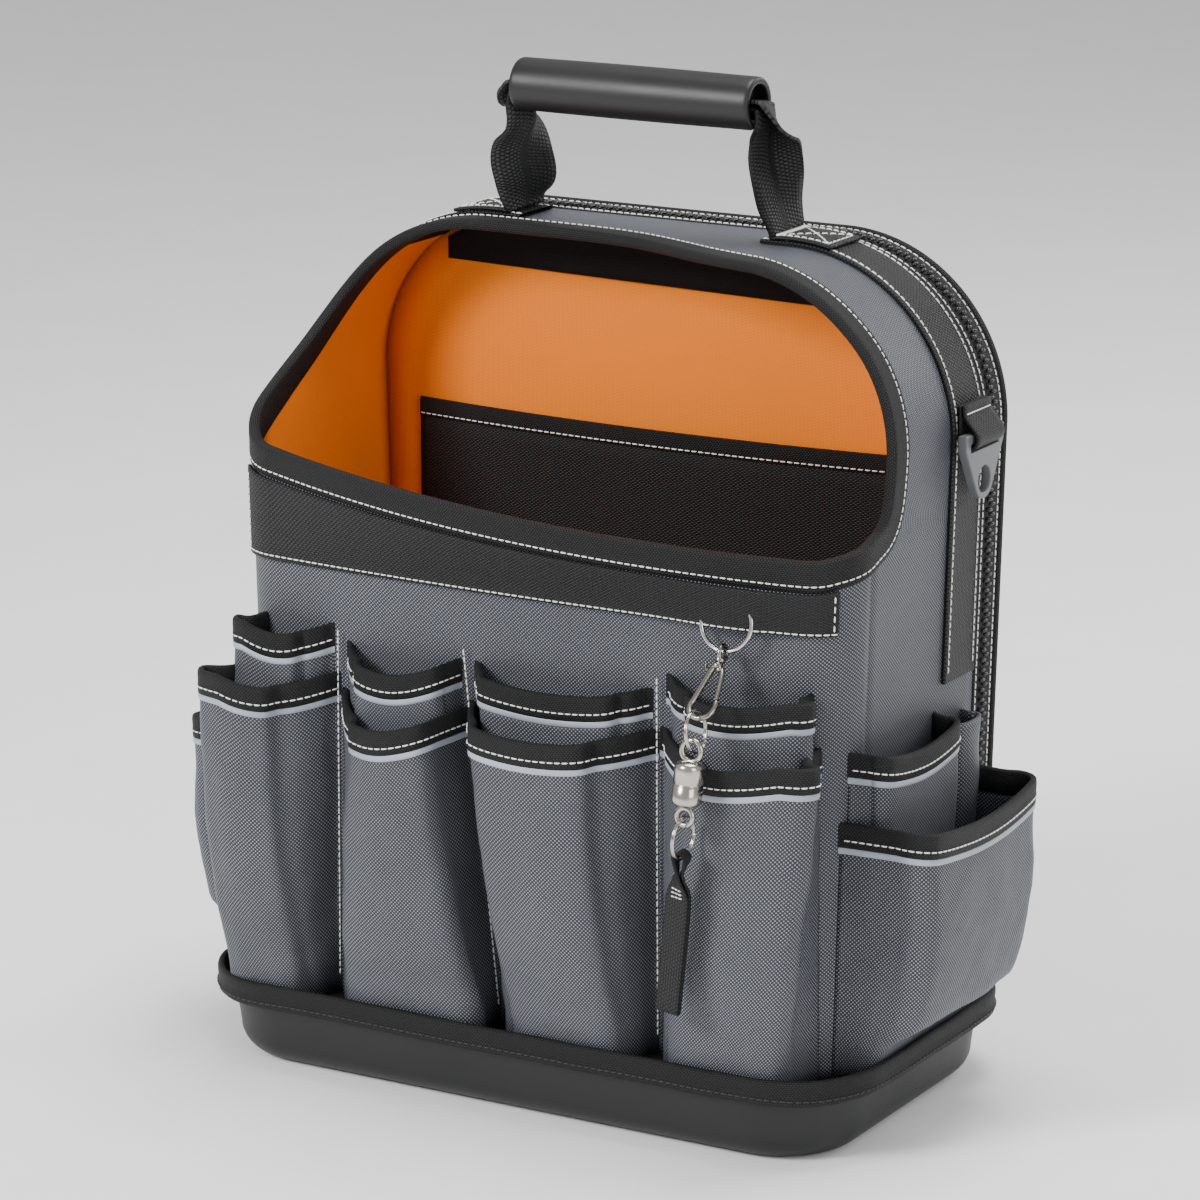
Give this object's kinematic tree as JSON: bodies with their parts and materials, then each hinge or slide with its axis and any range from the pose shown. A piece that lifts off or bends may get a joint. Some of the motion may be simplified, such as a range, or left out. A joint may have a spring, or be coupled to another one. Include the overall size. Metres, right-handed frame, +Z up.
{
  "type": "open top tool tote",
  "caption": "Open top tool bag with a moulded foot, arched zipped back, webbing handle with a grip, rows of pleated pockets on the front and sides, hanging D-rings and a lanyard.",
  "frame": {"origin": "middle of the foot's underside, on the floor", "axes": "+Z up, -Y out of the pocketed front, +X to the tote's right-hand side seen from the front"},
  "size_m": [0.3554, 0.1986, 0.411],
  "materials": {
    "nylon": "coarse ballistic weave, matt",
    "webbing": "ribbed tape, matt",
    "lining": "fine weave, satin",
    "dark_lining": "fine weave, matt",
    "foot": "moulded, satin",
    "grip": "soft, satin",
    "ring_plastic": "moulded, satin",
    "zipper": "moulded coil, satin",
    "slider": "dark coated, satin",
    "steel": "bright wire",
    "nickel": "polished nickel plate"
  },
  "bodies": {
    "tote": {"front_panel": "nylon", "gusset": "nylon", "back_panel": "nylon", "lining_front": "lining", "lining_right": "lining", "lining_left": "lining", "lining_top": "dark_lining", "lining_back": "lining", "inner_pocket": "dark_lining", "opening_binding": "webbing", "base_binding": "webbing", "back_binding": "webbing", "base_tub": "foot", "floor_panel": "foot", "zipper_tape": "webbing", "zipper_coil": "zipper", "zipper_slider": "slider", "strap_right": "webbing", "strap_left": "webbing", "handle_webbing": "webbing", "handle_grip": "grip", "ring_loop_right": "webbing", "ring_loop_left": "webbing", "front_band": "webbing", "lanyard_ring": "steel", "snap_hook": "nickel", "split_ring_upper": "nickel", "magnet_coupling": "nickel", "split_ring_lower": "nickel", "lanyard_tape": "webbing", "pocket_lower_1": "nylon", "pocket_lower_1_binding": "webbing", "pocket_upper_1": "nylon", "pocket_upper_1_binding": "webbing", "pocket_lower_2": "nylon", "pocket_lower_2_binding": "webbing", "pocket_upper_2": "nylon", "pocket_upper_2_binding": "webbing", "pocket_lower_3": "nylon", "pocket_lower_3_binding": "webbing", "pocket_upper_3": "nylon", "pocket_upper_3_binding": "webbing", "pocket_lower_4": "nylon", "pocket_lower_4_binding": "webbing", "pocket_upper_4": "nylon", "pocket_upper_4_binding": "webbing", "pocket_right_lower": "nylon", "pocket_right_lower_binding": "webbing", "pocket_right_upper": "nylon", "pocket_right_upper_binding": "webbing", "pocket_right_rear": "nylon", "pocket_left_lower": "nylon", "pocket_left_lower_binding": "webbing", "pocket_left_upper": "nylon", "pocket_left_upper_binding": "webbing", "pocket_left_rear": "nylon"},
    "ring_right": {"d_ring_right": "ring_plastic"},
    "ring_left": {"d_ring_left": "ring_plastic"}
  },
  "joints": [
    {"name": "d_ring_right", "type": "hinge", "parent": "tote", "child": "ring_right", "pos_m": [0.14893, 0.041, 0.274], "axis": [0, -1, 0], "range_deg": [0, 130]},
    {"name": "d_ring_left", "type": "hinge", "parent": "tote", "child": "ring_left", "pos_m": [-0.14893, 0.041, 0.274], "axis": [0, 1, 0], "range_deg": [0, 130]}
  ]
}
